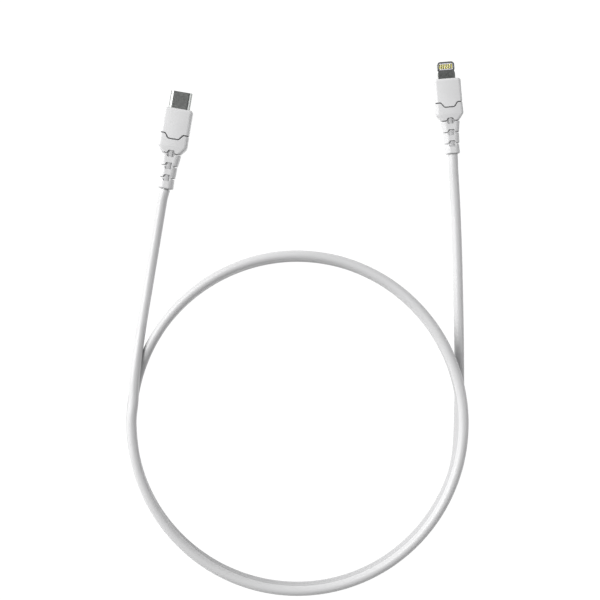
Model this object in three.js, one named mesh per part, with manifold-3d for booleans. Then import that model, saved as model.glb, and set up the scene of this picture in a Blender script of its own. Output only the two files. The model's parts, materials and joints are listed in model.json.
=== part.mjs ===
// Charging cable with an oval plug on one end and a flat eight-contact tab plug on the other.
// Both plugs have one design of moulding, in two sizes: a front cover, a rear cover and three
// strain-relief rings that are joined by thin upright webs. The cable lies on a flat surface in
// two and a half turns.
//
// Units are millimetres and +Z is up. The origin is on the surface, midway between the plugs.
// Each plug is built in its own frame: +Y is the way it is pushed in, X is across its width,
// and its mid-plane is Z = 0. Y = 0 is the front face of its front cover.

import * as THREE from 'three';
import { mergeVertices } from 'three/addons/utils/BufferGeometryUtils.js';
import Module from 'manifold-3d';

const wasm = await Module();
wasm.setup();

// ---------------------------------------------------------------- driving dimensions

// Where each plug lies, how far it is turned from straight ahead, and how large its moulding is
// against the dimensions below.
const OVAL_PLUG = { x: -50.52, y: 6.33, turn: -9.75, grow: 1.037 };
const TAB_PLUG = { x: 52.37, y: 17.94, turn: 4.75, grow: 0.965 };

// The moulding, before it is scaled to either size.
const COVER_HALF_WIDTH = 5.35;
const COVER_HEIGHT = 5.8;
const COVER_EDGE = 0.9;
const COVER_CORNER = 1.4;
const SHOULDER_Y = -14.2;
const SHOULDER_HALF_WIDTH = 5.42;
const NECK_HALF_WIDTH = 3.6;
const FRONT_WALL = 1.0;
const CAVITY = { width: 9.2, height: 3.7, corner: 1.0, end: -13.4 };
const THROAT_RADIUS = 1.5;

// The seam between the covers: straight at the sides, with a tongue in the middle.
const SEAM_Y = -9.6;
const TONGUE_Y = -11.45;
const TONGUE_TOP = 3.35;
const TONGUE_TIP = 1.95;
const SEAM_GAP = 0.3;

// The strain relief: the slits' centres, counted from the cover, and the rings behind them.
const SLITS = [-16.9, -21.5, -26.0];
const SLIT_WIDTH = 0.45;
const EXIT_Y = -29.9;
const RINGS = [
  { front: 3.7, back: 3.15, height: 5.6 },
  { front: 3.08, back: 2.95, height: 5.5 },
  { front: 2.75, back: 2.88, height: 5.4 },
];
const RING_EDGE = 1.9;

// The window round each slit, with the web that joins the pieces on either side of it.
const WINDOW = { halfLength: 1.2, halfWidth: 1.75, flatHalfWidth: 1.05, depth: 0.9 };
const WEB = { halfWidth: 0.6, recess: 0.4, length: 0.3 };

// The oval plug's shell, and what it holds.
const SHELL = { width: 8.25, height: 2.4, wall: 0.25, tip: 6.65, tail: -3.5 };
const LINER = { width: 7.6, height: 1.78, tip: 6.2, tail: -2.5 };
const MOUTH = { floor: 0.6, halfHeight: 0.425 };
const PITCH = 0.5;
const TOP_PLACES = [1, 4, 5, 6, 7, 9, 12];
const BOTTOM_PLACES = [1, 4, 5, 9, 12];
const PIN = { width: 0.25, low: 0.42, thickness: 0.15, tip: 5.6, tail: -3.4, bump: 0.2 };
const LATCH = { halfThickness: 0.1, web: 3.0, arm: 3.55, armWidth: 0.25, tip: 4.8, tail: -2.3 };
const GROUND_SPRING = { halfWidth: 2.8, front: 5.6, back: 3.2, low: 0.74, thickness: 0.11 };

// The tab plug's metal tab, and what it holds.
const TAB = { width: 6.7, height: 1.5, tip: 6.65, corner: 1.3 };
const TAB_FLANGE = { width: 8.0, height: 2.6, corner: 0.6, front: -1.15, back: -2.6 };
const TAB_SLOT = { width: 5.0, height: 0.76 };
const TAB_WINDOW = { width: 5.5, length: 2.6, corner: 0.6, rim: 0.6 };
const DETENT = { fromTip: 3.7, radius: 0.9, depth: 0.3 };
const PADS = { count: 8, pitch: 0.66, width: 0.42, length: 1.85, low: 0.39, high: 0.74 };

// Boards, cans and wires, which are alike in both plugs.
const BOARD = { halfWidth: 3.8, halfThickness: 0.33, front: -2.75, back: -10.4 };
const CAN = { width: 8.95, height: 3.4, wall: 0.2, corner: 1.0, front: -1.25, back: -8.3 };
const WIRE_RADIUS = 0.42;
const WIRE_START = { x: 0.55, y: -16.2, z: 0.55 };
const WIRE_THROAT = { x: 0.75, y: -13.8, z: 0.65 };
const WIRE_PAD = { x: 2.0, front: -8.9, back: -10.2, spread: 1.8, spreadY: -11.8 };
const LOOSE = 0.06;

// The cord goes two and a half times round, each turn lying on the one that follows it. Its
// distance from the loop's middle is given at every quarter turn, beginning at the left side.
const CORD_RADIUS = 1.9;
const CORD_STEPS = 84;
const CORD_GAP = 0.3;
const LOOP = { x: -5.05, y: -114.12, start: 180, turned: 885 };
const QUARTER_RADII = [63.07, 63.65, 63.34, 64.19, 63.45, 63.57, 63.02, 63.65, 64.02, 63.3, 62.81];
const LOW = CORD_RADIUS + 0.03;
const LEVEL_STEP = 3.82;
const SINKING = { first: 200, second: 560, length: 60 };

// ---------------------------------------------------------------- materials

const plain = (color, roughness, metalness = 0) =>
  new THREE.MeshStandardMaterial({ color, roughness, metalness });

const COVER = plain(0xe9e9eb, 0.5);
const RELIEF = plain(0xe4e4e6, 0.6);
const JACKET = plain(0xececee, 0.55);
const STEEL = plain(0x7b7e7b, 0.3, 1);
const SPRING_STEEL = plain(0xa9aaa6, 0.35, 1);
const GOLD = plain(0xd8b84a, 0.25, 1);
const DARK_PLASTIC = plain(0x1d1d20, 0.55);
const PALE_PLASTIC = plain(0xe3e1ea, 0.45);
const BOARD_GREEN = plain(0x1f5a38, 0.5);
const CHIP_BLACK = plain(0x16161a, 0.5);
const WIRE_COLOURS = [0xb3241f, 0x1c1c1e, 0x2f8a46, 0xe8e8e8].map((c) => plain(c, 0.5));

// ---------------------------------------------------------------- solids

// A moulding stands on the surface, so its axis is half its height above it.
const axisHeight = (grow) => (grow * COVER_HEIGHT) / 2;

function toSolid(geometry) {
  geometry.deleteAttribute('normal');
  geometry.deleteAttribute('uv');
  const merged = mergeVertices(geometry, 1e-4);
  return new wasm.Manifold(new wasm.Mesh({
    numProp: 3,
    vertProperties: merged.attributes.position.array,
    triVerts: new Uint32Array(merged.index.array),
  }));
}

function toGeometry(solid) {
  const mesh = solid.getMesh();
  const geometry = new THREE.BufferGeometry();
  geometry.setAttribute('position', new THREE.BufferAttribute(mesh.vertProperties, 3));
  geometry.setIndex(new THREE.BufferAttribute(mesh.triVerts, 1));
  const flat = geometry.toNonIndexed();
  flat.computeVertexNormals();
  return flat;
}

function box([x0, x1], [y0, y1], [z0, z1]) {
  const geometry = new THREE.BoxGeometry(x1 - x0, y1 - y0, z1 - z0);
  geometry.translate((x0 + x1) / 2, (y0 + y1) / 2, (z0 + z1) / 2);
  return toSolid(geometry);
}

function polygon(points) {
  return new THREE.Shape(points.map(([x, y]) => new THREE.Vector2(x, y)));
}

function roundedRect(width, height, corner) {
  const x = width / 2 - corner;
  const y = height / 2 - corner;
  const shape = new THREE.Shape();
  shape.absarc(x, y, corner, 0, Math.PI / 2);
  shape.absarc(-x, y, corner, Math.PI / 2, Math.PI);
  shape.absarc(-x, -y, corner, Math.PI, 1.5 * Math.PI);
  shape.absarc(x, -y, corner, 1.5 * Math.PI, 2 * Math.PI);
  return shape;
}

// A plan outline (X, Y), extruded upwards between two heights.
function plate(shape, [z0, z1], curveSegments = 4) {
  const geometry = new THREE.ExtrudeGeometry(shape, { depth: z1 - z0, bevelEnabled: false, curveSegments });
  geometry.translate(0, 0, z0);
  return toSolid(geometry);
}

// A plan outline with rounded upper and lower edges, centred on the mid-plane.
function pillow(shape, height, edge, bevelSegments) {
  const geometry = new THREE.ExtrudeGeometry(shape, {
    depth: height - 2 * edge,
    bevelEnabled: true,
    bevelThickness: edge,
    bevelSize: edge,
    bevelOffset: -edge,
    bevelSegments,
    curveSegments: 4,
  });
  geometry.translate(0, 0, edge - height / 2);
  return toSolid(geometry);
}

// A cross-section (X, Z), extruded along Y.
function bar(shape, [y0, y1], curveSegments = 5) {
  const geometry = new THREE.ExtrudeGeometry(shape, { depth: y1 - y0, bevelEnabled: false, curveSegments });
  geometry.applyMatrix4(new THREE.Matrix4().makeBasis(
    new THREE.Vector3(1, 0, 0),
    new THREE.Vector3(0, 0, 1),
    new THREE.Vector3(0, -1, 0),
  ));
  geometry.translate(0, y1, 0);
  return toSolid(geometry);
}

// A side profile (Y, Z), extruded along X.
function strip(points, [x0, x1]) {
  const geometry = new THREE.ExtrudeGeometry(polygon(points), { depth: x1 - x0, bevelEnabled: false });
  geometry.applyMatrix4(new THREE.Matrix4().makeBasis(
    new THREE.Vector3(0, 1, 0),
    new THREE.Vector3(0, 0, 1),
    new THREE.Vector3(1, 0, 0),
  ));
  geometry.translate(x0, 0, 0);
  return toSolid(geometry);
}

// A round cord of a given number of sides along a smooth route.
function cordGeometry(route, radius, sides, steps) {
  const ring = Array.from({ length: sides }, (_, i) => {
    const angle = (2 * Math.PI * i) / sides;
    return [radius * Math.cos(angle), radius * Math.sin(angle)];
  });
  const path = new THREE.CatmullRomCurve3(route.map((p) => new THREE.Vector3(...p)), false, 'centripetal');
  return new THREE.ExtrudeGeometry(polygon(ring), { steps, bevelEnabled: false, extrudePath: path });
}

const upsideDown = (solid) => solid.rotate([0, 180, 0]);

function addPiece(group, name, solid, material) {
  const piece = new THREE.Mesh(toGeometry(solid), material);
  piece.name = name;
  group.add(piece);
  return piece;
}

// ---------------------------------------------------------------- the shared moulding

// The outside of both covers together, before the seam parts them.
function headEnvelope() {
  const back = SLITS[0] + SLIT_WIDTH / 2;
  const slope = (SHOULDER_HALF_WIDTH - NECK_HALF_WIDTH) / (SHOULDER_Y - back);
  const beyond = 1.5;
  const neck = NECK_HALF_WIDTH - slope * beyond;
  const x = COVER_HALF_WIDTH - COVER_CORNER;
  const shape = new THREE.Shape();
  shape.moveTo(-neck, back - beyond);
  shape.lineTo(neck, back - beyond);
  shape.lineTo(SHOULDER_HALF_WIDTH, SHOULDER_Y);
  shape.lineTo(COVER_HALF_WIDTH, SEAM_Y);
  shape.absarc(x, -COVER_CORNER, COVER_CORNER, 0, Math.PI / 2);
  shape.absarc(-x, -COVER_CORNER, COVER_CORNER, Math.PI / 2, Math.PI);
  shape.lineTo(-COVER_HALF_WIDTH, SEAM_Y);
  shape.lineTo(-SHOULDER_HALF_WIDTH, SHOULDER_Y);
  return pillow(shape, COVER_HEIGHT, COVER_EDGE, 3);
}

// The part of the plan on one side of the seam: side is 1 in front of it and -1 behind it.
function seamPlan(side) {
  const shift = (side * SEAM_GAP) / 2;
  const slope = (TONGUE_TOP - TONGUE_TIP) / (SEAM_Y - TONGUE_Y);
  const edge = (y) => TONGUE_TOP + slope * (y - SEAM_Y) - shift * Math.hypot(1, slope);
  const top = SEAM_Y + shift;
  const tip = TONGUE_Y + shift;
  const far = side > 0 ? 5 : SLITS[0] + SLIT_WIDTH / 2;
  const reach = 9;
  return polygon([
    [-reach, top],
    [-edge(top), top],
    [-edge(tip), tip],
    [edge(tip), tip],
    [edge(top), top],
    [reach, top],
    [reach, far],
    [-reach, far],
  ]);
}

// The six-sided window round a slit, cut into the top and the bottom face down to the cord's
// own surface, leaving the web that crosses it.
function windowCutter(slit, height) {
  const { halfLength, halfWidth, flatHalfWidth, depth } = WINDOW;
  const top = height / 2;
  const outline = polygon([
    [-halfWidth, slit],
    [-flatHalfWidth, slit - halfLength],
    [flatHalfWidth, slit - halfLength],
    [halfWidth, slit],
    [flatHalfWidth, slit + halfLength],
    [-flatHalfWidth, slit + halfLength],
  ]);
  const rib = box(
    [-WEB.halfWidth, WEB.halfWidth],
    [slit - 2 * halfLength, slit + 2 * halfLength],
    [0, top - WEB.recess],
  );
  const upper = plate(outline, [top - depth, top + 1]).subtract(rib);
  return upper.add(upsideDown(upper));
}

function frontCover(envelope) {
  const { width, height, corner } = CAVITY;
  const cavity = bar(roundedRect(width, height, corner), [-20, -FRONT_WALL]);
  return envelope.intersect(plate(seamPlan(1), [-4, 4])).subtract(cavity);
}

function rearCover(envelope) {
  const { width, height, corner, end } = CAVITY;
  const cavity = bar(roundedRect(width, height, corner), [end, 0]);
  const throat = bar(roundedRect(2 * THROAT_RADIUS, 2 * THROAT_RADIUS, THROAT_RADIUS - 0.01), [-20, 0], 3);
  return envelope
    .intersect(plate(seamPlan(-1), [-4, 4]))
    .subtract(cavity)
    .subtract(throat)
    .subtract(windowCutter(SLITS[0], COVER_HEIGHT));
}

// One strain-relief ring. It grips the cord, so it has no bore of its own, and it carries the
// web that bridges the slit in front of it.
function reliefRing(index) {
  const { front, back, height } = RINGS[index];
  const y1 = SLITS[index] - SLIT_WIDTH / 2;
  const last = index === RINGS.length - 1;
  const y0 = last ? EXIT_Y : SLITS[index + 1] + SLIT_WIDTH / 2;
  const beyond = 2.5;
  const flare = ((front - back) / (y1 - y0)) * beyond;
  const plan = polygon([
    [-back + flare, y0 - beyond],
    [back - flare, y0 - beyond],
    [front + flare, y1 + beyond],
    [-front - flare, y1 + beyond],
  ]);
  let ring = pillow(plan, height, RING_EDGE, 4).intersect(box([-9, 9], [y0, y1], [-4, 4]));
  ring = ring.subtract(windowCutter(SLITS[index], height));
  if (!last) {
    ring = ring.subtract(windowCutter(SLITS[index + 1], height));
  }
  const webTop = height / 2 - WEB.recess;
  const web = box([-WEB.halfWidth, WEB.halfWidth], [y1 - 0.5, y1 + WEB.length], [-webTop, webTop]);
  return ring.add(web);
}

// ---------------------------------------------------------------- boards, cans and wires

function can() {
  const { width, height, wall, corner, front, back } = CAN;
  const outside = bar(roundedRect(width, height, corner), [back, front]);
  const hollow = roundedRect(width - 2 * wall, height - 2 * wall, corner - wall);
  return outside.subtract(bar(hollow, [back - 1, front + 1]));
}

// Four wires fan out from the cord's end to pads on both faces of the board.
function addWires(group, prefix, grow) {
  const names = ['power', 'ground', 'data_plus', 'data_minus'];
  const lift = BOARD.halfThickness + WIRE_RADIUS + LOOSE;
  names.forEach((name, i) => {
    const side = i % 2 === 0 ? -1 : 1;
    const face = i < 2 ? 1 : -1;
    const at = (x, y, z) => [side * grow * x, grow * y, face * z];
    const route = [
      at(WIRE_START.x, WIRE_START.y, WIRE_START.z),
      at(WIRE_THROAT.x, WIRE_THROAT.y, WIRE_THROAT.z),
      at(WIRE_PAD.spread, WIRE_PAD.spreadY, lift),
      at(WIRE_PAD.x, WIRE_PAD.back, lift),
      at(WIRE_PAD.x, WIRE_PAD.front, lift),
    ];
    const wire = new THREE.Mesh(cordGeometry(route, WIRE_RADIUS, 6, 8), WIRE_COLOURS[i]);
    wire.name = `${prefix}_wire_${name}`;
    group.add(wire);
  });
}

function addMoulding(group, prefix, opening, grow) {
  const sized = (solid) => solid.scale([grow, grow, grow]);
  const envelope = headEnvelope();
  const mouth = bar(opening, [-2 * FRONT_WALL, 1]);
  addPiece(group, `${prefix}_front_cover`, sized(frontCover(envelope)).subtract(mouth), COVER);
  addPiece(group, `${prefix}_rear_cover`, sized(rearCover(envelope)), RELIEF);
  RINGS.forEach((_, i) => {
    addPiece(group, `${prefix}_relief_ring_${i + 1}`, sized(reliefRing(i)), RELIEF);
  });
  addPiece(group, `${prefix}_can`, sized(can()), SPRING_STEEL);
  addWires(group, prefix, grow);
}

// ---------------------------------------------------------------- the oval plug

const placeX = (place) => (place - 6.5) * PITCH;

function shell() {
  const { width, height, wall, tip, tail } = SHELL;
  const outside = bar(roundedRect(width, height, height / 2 - 0.01), [tail, tip], 6);
  const hollow = roundedRect(width - 2 * wall, height - 2 * wall, height / 2 - wall - 0.01);
  return outside.subtract(bar(hollow, [tail - 1, tip + 1], 6));
}

// The contacts' channels run the whole length of the liner, above and below the mouth.
function contactChannels(places) {
  const channels = places.map((place) => {
    const x = placeX(place);
    const half = PIN.width / 2 + LOOSE;
    return box([x - half, x + half], [LINER.tail - 1, PIN.tip + 0.3], [0.3, PIN.low + PIN.thickness + LOOSE]);
  });
  return channels.reduce((all, one) => all.add(one));
}

function liner() {
  const { width, height, tip, tail } = LINER;
  let body = bar(roundedRect(width, height, height / 2 - 0.01), [tail, tip], 4);
  const mouth = box([-5, 5], [MOUTH.floor, tip + 1], [-MOUTH.halfHeight, MOUTH.halfHeight]);
  const latchSlot = box(
    [-LATCH.web - LOOSE, LATCH.web + LOOSE],
    [tail - 1, MOUTH.floor + 1],
    [-LATCH.halfThickness - LOOSE, LATCH.halfThickness + LOOSE],
  );
  body = body.subtract(mouth).subtract(latchSlot);
  body = body.subtract(contactChannels(TOP_PLACES)).subtract(upsideDown(contactChannels(BOTTOM_PLACES)));
  const { halfWidth, front, back, low } = GROUND_SPRING;
  const wide = halfWidth + LOOSE;
  const recess = box([-wide, wide], [back - LOOSE, front + LOOSE], [low - LOOSE, 2]);
  return body.subtract(recess).subtract(upsideDown(recess));
}

// One contact: a straight beam whose free end dips into the mouth.
function pin(place) {
  const x = placeX(place);
  const { width, low, thickness, tip, tail, bump } = PIN;
  const high = low + thickness;
  const profile = [
    [tail, low],
    [3.0, low],
    [4.6, bump],
    [tip, low],
    [tip, high],
    [4.6, bump + thickness],
    [3.0, high],
    [tail, high],
  ];
  return strip(profile, [x - width / 2, x + width / 2]);
}

// The latch: a mid plate between the two rows, with a hooked arm down each side of the mouth.
function latchPlate() {
  const { halfThickness, web, arm, armWidth, tip, tail } = LATCH;
  const bend = MOUTH.floor + 0.15;
  const outline = polygon([
    [-web, tail],
    [web, tail],
    [web, bend],
    [arm, bend + 0.3],
    [arm, tip - 0.5],
    [arm - 0.2, tip],
    [arm - armWidth - 0.35, tip - 0.3],
    [arm - armWidth, tip - 0.9],
    [arm - armWidth, bend + 0.6],
    [-arm + armWidth, bend + 0.6],
    [-arm + armWidth, tip - 0.9],
    [-arm + armWidth + 0.35, tip - 0.3],
    [-arm + 0.2, tip],
    [-arm, tip - 0.5],
    [-arm, bend + 0.3],
    [-web, bend],
  ]);
  return plate(outline, [-halfThickness, halfThickness]);
}

// A grounding spring: a thin plate under the shell with a slot between its two fingers.
function groundSpring() {
  const { halfWidth, front, back, low, thickness } = GROUND_SPRING;
  const sheet = box([-halfWidth, halfWidth], [back, front], [low, low + thickness]);
  const slot = box([-0.3, 0.3], [back + 0.6, front + 1], [low - 1, low + 1]);
  return sheet.subtract(slot);
}

function ovalBoard() {
  const { halfWidth, halfThickness, front, back } = BOARD;
  return box([-halfWidth, halfWidth], [back, front], [-halfThickness, halfThickness]);
}

function ovalPlug() {
  const plug = new THREE.Group();
  const clearance = 0.1;
  const opening = roundedRect(
    SHELL.width + 2 * clearance,
    SHELL.height + 2 * clearance,
    SHELL.height / 2 + clearance - 0.01,
  );
  addMoulding(plug, 'oval', opening, OVAL_PLUG.grow);
  addPiece(plug, 'oval_shell', shell(), STEEL);
  addPiece(plug, 'oval_liner', liner(), DARK_PLASTIC);
  addPiece(plug, 'oval_latch_plate', latchPlate(), SPRING_STEEL);
  addPiece(plug, 'oval_ground_spring_top', groundSpring(), SPRING_STEEL);
  addPiece(plug, 'oval_ground_spring_bottom', upsideDown(groundSpring()), SPRING_STEEL);
  TOP_PLACES.forEach((p) => addPiece(plug, `oval_contact_top_${p}`, pin(p), GOLD));
  BOTTOM_PLACES.forEach((p) => addPiece(plug, `oval_contact_bottom_${p}`, upsideDown(pin(p)), GOLD));
  addPiece(plug, 'oval_board', ovalBoard(), BOARD_GREEN);
  const seat = BOARD.halfThickness + LOOSE;
  addPiece(plug, 'oval_resistor', box([-0.5, 0.5], [-6.4, -5.8], [seat, seat + 0.35]), CHIP_BLACK);
  return plug;
}

// ---------------------------------------------------------------- the tab plug

const padX = (index) => (index - (PADS.count - 1) / 2) * PADS.pitch;
const WINDOW_Y = TAB.tip - TAB_WINDOW.rim - TAB_WINDOW.length / 2;

function tabFrame() {
  const { width, height, tip, corner } = TAB;
  const half = width / 2;
  const outline = new THREE.Shape();
  outline.moveTo(half, TAB_FLANGE.back - 1);
  outline.absarc(half - corner, tip - corner, corner, 0, Math.PI / 2);
  outline.absarc(corner - half, tip - corner, corner, Math.PI / 2, Math.PI);
  outline.lineTo(-half, TAB_FLANGE.back - 1);
  const behind = box([-9, 9], [TAB_FLANGE.back - 9, TAB_FLANGE.back], [-9, 9]);
  const flange = bar(
    roundedRect(TAB_FLANGE.width, TAB_FLANGE.height, TAB_FLANGE.corner),
    [TAB_FLANGE.back, TAB_FLANGE.front],
    3,
  );
  const window = roundedRect(TAB_WINDOW.width, TAB_WINDOW.length, TAB_WINDOW.corner);
  const opening = plate(window, [-2, 2]).translate([0, WINDOW_Y, 0]);
  const slot = box(
    [-TAB_SLOT.width / 2, TAB_SLOT.width / 2],
    [TAB_FLANGE.back - 1, WINDOW_Y],
    [-TAB_SLOT.height / 2, TAB_SLOT.height / 2],
  );
  let frame = pillow(outline, height, 0.3, 2).subtract(behind).add(flange);
  frame = frame.subtract(opening).subtract(slot);
  for (const side of [-1, 1]) {
    const bite = new THREE.CylinderGeometry(DETENT.radius, DETENT.radius, 4, 12);
    bite.rotateX(Math.PI / 2);
    bite.translate(side * (half - DETENT.depth + DETENT.radius), tip - DETENT.fromTip, 0);
    frame = frame.subtract(toSolid(bite));
  }
  return frame;
}

// The insert fills the tab's window round the board's nose and parts the contacts.
function tabInsert() {
  const width = TAB_WINDOW.width - 2 * LOOSE;
  const length = TAB_WINDOW.length - 2 * LOOSE;
  const outline = roundedRect(width, length, TAB_WINDOW.corner - LOOSE);
  let insert = plate(outline, [-TAB.height / 2 + 0.03, TAB.height / 2 - 0.03]).translate([0, WINDOW_Y, 0]);
  const nose = PADS.length / 2 + LOOSE;
  insert = insert.subtract(box(
    [-TAB_SLOT.width / 2, TAB_SLOT.width / 2],
    [WINDOW_Y - 5, WINDOW_Y + nose],
    [-TAB_SLOT.height / 2, TAB_SLOT.height / 2],
  ));
  for (let i = 0; i < PADS.count; i += 1) {
    const half = PADS.width / 2 + LOOSE;
    const pocket = box([padX(i) - half, padX(i) + half], [WINDOW_Y - nose, WINDOW_Y + nose], [-2, 2]);
    insert = insert.subtract(pocket);
  }
  return insert;
}

function pad(index) {
  const half = PADS.width / 2;
  const { length, low, high } = PADS;
  const along = [WINDOW_Y - length / 2, WINDOW_Y + length / 2];
  return box([padX(index) - half, padX(index) + half], along, [low, high]);
}

function tabBoard() {
  const { halfWidth, halfThickness, front, back } = BOARD;
  const nose = TAB_SLOT.width / 2 - LOOSE;
  const outline = polygon([
    [-halfWidth, back],
    [halfWidth, back],
    [halfWidth, front],
    [nose, front],
    [nose, WINDOW_Y + PADS.length / 2],
    [-nose, WINDOW_Y + PADS.length / 2],
    [-nose, front],
    [-halfWidth, front],
  ]);
  return plate(outline, [-halfThickness, halfThickness]);
}

function tabPlug() {
  const plug = new THREE.Group();
  const clearance = 0.1;
  const opening = roundedRect(TAB.width + 2 * clearance, TAB.height + 2 * clearance, 0.4);
  addMoulding(plug, 'tab', opening, TAB_PLUG.grow);
  addPiece(plug, 'tab_frame', tabFrame(), STEEL);
  addPiece(plug, 'tab_insert', tabInsert(), PALE_PLASTIC);
  for (let i = 0; i < PADS.count; i += 1) {
    addPiece(plug, `tab_contact_top_${i + 1}`, pad(i), GOLD);
    addPiece(plug, `tab_contact_bottom_${i + 1}`, upsideDown(pad(i)), GOLD);
  }
  addPiece(plug, 'tab_board', tabBoard(), BOARD_GREEN);
  const seat = BOARD.halfThickness + LOOSE;
  addPiece(plug, 'tab_chip', box([-1.3, 1.3], [-7.0, -4.6], [seat, seat + 0.7]), CHIP_BLACK);
  return plug;
}

// ---------------------------------------------------------------- the cord

// The point of the loop that the cord reaches after turning by some degrees. It sinks by one
// level in each turn, just past the place where the tab plug's lead comes out from under it.
function onLoop(turned) {
  const quarter = Math.min(Math.floor(turned / 90), QUARTER_RADII.length - 2);
  const share = (1 - Math.cos(Math.PI * (turned / 90 - quarter))) / 2;
  const radius = THREE.MathUtils.lerp(QUARTER_RADII[quarter], QUARTER_RADII[quarter + 1], share);
  const sunkSince = (start) => THREE.MathUtils.smoothstep(turned, start, start + SINKING.length);
  const angle = THREE.MathUtils.degToRad(LOOP.start + turned);
  return [
    LOOP.x + radius * Math.cos(angle),
    LOOP.y + radius * Math.sin(angle),
    LOW + LEVEL_STEP * (2 - sunkSince(SINKING.first) - sunkSince(SINKING.second)),
  ];
}

// Where the cord meets a plug: just behind its last ring, on its axis.
function cordEnd({ x, y, turn, grow }) {
  const angle = THREE.MathUtils.degToRad(turn);
  const back = grow * EXIT_Y - CORD_GAP;
  return [x - back * Math.sin(angle), y + back * Math.cos(angle), axisHeight(grow)];
}

// From the oval plug the cord runs down to the surface and rises over its own last two turns. It
// goes round on top of them, winds down, and runs out from under the loop to the tab plug.
function cordRoute() {
  const ovalLead = [
    cordEnd(OVAL_PLUG),
    [-56.68, -27.41, 2.8],
    [-57.67, -32.78, 2.45],
    [-59.03, -40.85, 2.1],
    [-60.37, -48.93, 1.95],
    [-61.72, -57.02, 2.0],
    [-63.0, -65.11, 2.7],
    [-64.2, -73.18, 4.3],
    [-65.26, -81.19, 6.4],
    [-66.22, -89.15, 8.3],
    [-67.0, -97.11, 9.35],
    [-67.39, -105.48, 9.57],
  ];
  const loop = [];
  for (let turned = 0; turned <= LOOP.turned; turned += 15) {
    loop.push(onLoop(turned));
  }
  const tabLead = [
    [57.28, -105.94, LOW],
    [57.32, -95.54, LOW],
    [57.26, -85.14, LOW],
    [57.15, -77.05, LOW],
    [57.0, -68.96, LOW],
    [56.8, -59.72, LOW],
    [56.57, -50.09, LOW],
    [56.26, -40.84, LOW],
    [55.88, -31.6, 1.95],
    [55.42, -23.53, 2.25],
    [54.96, -15.87, 2.7],
    cordEnd(TAB_PLUG),
  ];
  return [...ovalLead, ...loop, ...tabLead];
}

function cord() {
  const piece = new THREE.Mesh(cordGeometry(cordRoute(), CORD_RADIUS, 8, CORD_STEPS), JACKET);
  piece.name = 'cord';
  return piece;
}

// ---------------------------------------------------------------- assembly

function place(plug, { x, y, turn, grow }) {
  plug.position.set(x, y, axisHeight(grow));
  plug.rotation.z = THREE.MathUtils.degToRad(turn);
  return plug;
}

const chargingCable = new THREE.Group();
chargingCable.add(place(ovalPlug(), OVAL_PLUG));
chargingCable.add(place(tabPlug(), TAB_PLUG));
chargingCable.add(cord());

export default chargingCable;
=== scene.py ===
"""A charging cable lying on a pale floor: an oval plug, a flat tab plug and a round white cord.

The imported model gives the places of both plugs. Each visible CAD solid is replaced by a finer
piece that is built here, in the plug's own frame: x across the plug, y the way it is pushed in
and z up, in millimetres, with y = 0 at the front face of the front cover. The mouldings of both
plugs have one design, which is scaled to each plug's size.
"""

import json
import math

import bmesh
import bpy
import numpy as np
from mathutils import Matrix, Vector


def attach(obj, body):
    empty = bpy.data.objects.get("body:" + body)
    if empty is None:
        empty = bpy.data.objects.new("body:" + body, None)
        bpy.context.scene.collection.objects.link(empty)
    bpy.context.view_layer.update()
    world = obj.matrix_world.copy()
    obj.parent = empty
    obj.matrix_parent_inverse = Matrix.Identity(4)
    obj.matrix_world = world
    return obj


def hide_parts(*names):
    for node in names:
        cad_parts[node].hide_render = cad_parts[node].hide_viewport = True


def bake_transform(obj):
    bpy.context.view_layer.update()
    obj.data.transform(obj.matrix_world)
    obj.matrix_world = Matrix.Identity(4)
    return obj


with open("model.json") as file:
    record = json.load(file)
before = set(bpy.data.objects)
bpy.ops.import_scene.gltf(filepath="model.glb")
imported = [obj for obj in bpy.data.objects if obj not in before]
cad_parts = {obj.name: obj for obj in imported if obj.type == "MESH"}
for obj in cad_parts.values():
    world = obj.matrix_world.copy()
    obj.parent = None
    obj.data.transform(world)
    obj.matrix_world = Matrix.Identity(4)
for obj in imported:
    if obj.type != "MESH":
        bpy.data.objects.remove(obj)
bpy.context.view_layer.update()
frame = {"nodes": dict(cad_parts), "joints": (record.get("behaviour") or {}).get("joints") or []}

MM = 0.001

# ------------------------------------------------------------------ dimensions, in millimetres

GROW = {"oval": 1.037, "tab": 0.965}

COVER_HALF_WIDTH = 5.35
COVER_HALF_HEIGHT = 2.9
COVER_CORNER = 1.1
COVER_CROWN = 0.38
SHOULDER_Y = -14.2
SHOULDER_HALF_WIDTH = 5.42
NECK_HALF_WIDTH = 3.6
NECK_HALF_HEIGHT = 2.55
SEAM_Y = -9.6
TONGUE_Y = -11.45
TONGUE_TOP = 3.35
TONGUE_TIP = 1.95
SEAM_GAP = 0.44
SLITS = (-16.9, -21.5, -26.0)
SLIT_WIDTH = 0.45
EXIT_Y = -29.9
# Each ring: half-width in front and behind, half-height in front and behind, corner radius.
RINGS = (
    (3.7, 3.15, 2.74, 2.72, 1.9),
    (3.08, 2.95, 2.75, 2.7, 2.1),
    (2.75, 2.88, 2.69, 2.7, 2.2),
)
WINDOW_HALF_LENGTH = 1.2
WINDOW_HALF_WIDTH = 1.75
WINDOW_FLAT = 1.05
# The core that joins the rings and shows in their windows, and its bore: half-width, half-height
# and corner radius.
CORE = (1.9, 2.1, 0.8)
BORE = (1.96, 2.16, 0.85)
# The hollow inside the covers: half-width, half-height and corner radius.
CAVITY = (4.6, 1.85, 1.0)
# How deep the front cover's lip, the rear cover's spigot and the slits' mouths go in.
LIP_DEPTH = 0.44
SPIGOT_DEPTH = 0.52
MOUTH_DEPTH = 0.35
WEB_HALF_WIDTH = 0.6
WEB_TOP = 2.36
CORD_RADIUS = 1.9
CORD_GAP = 0.3

# ------------------------------------------------------------------ camera and cord


def add_camera():
    """Looks straight down from high above."""
    data = bpy.data.cameras.new("camera")
    data.lens = 100
    data.sensor_width = 36
    data.clip_start = 0.05
    camera = bpy.data.objects.new("camera", data)
    camera.location = Vector((-4.02, -67.03, 643.93)) * MM
    bpy.context.scene.collection.objects.link(camera)
    bpy.context.scene.camera = camera


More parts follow.
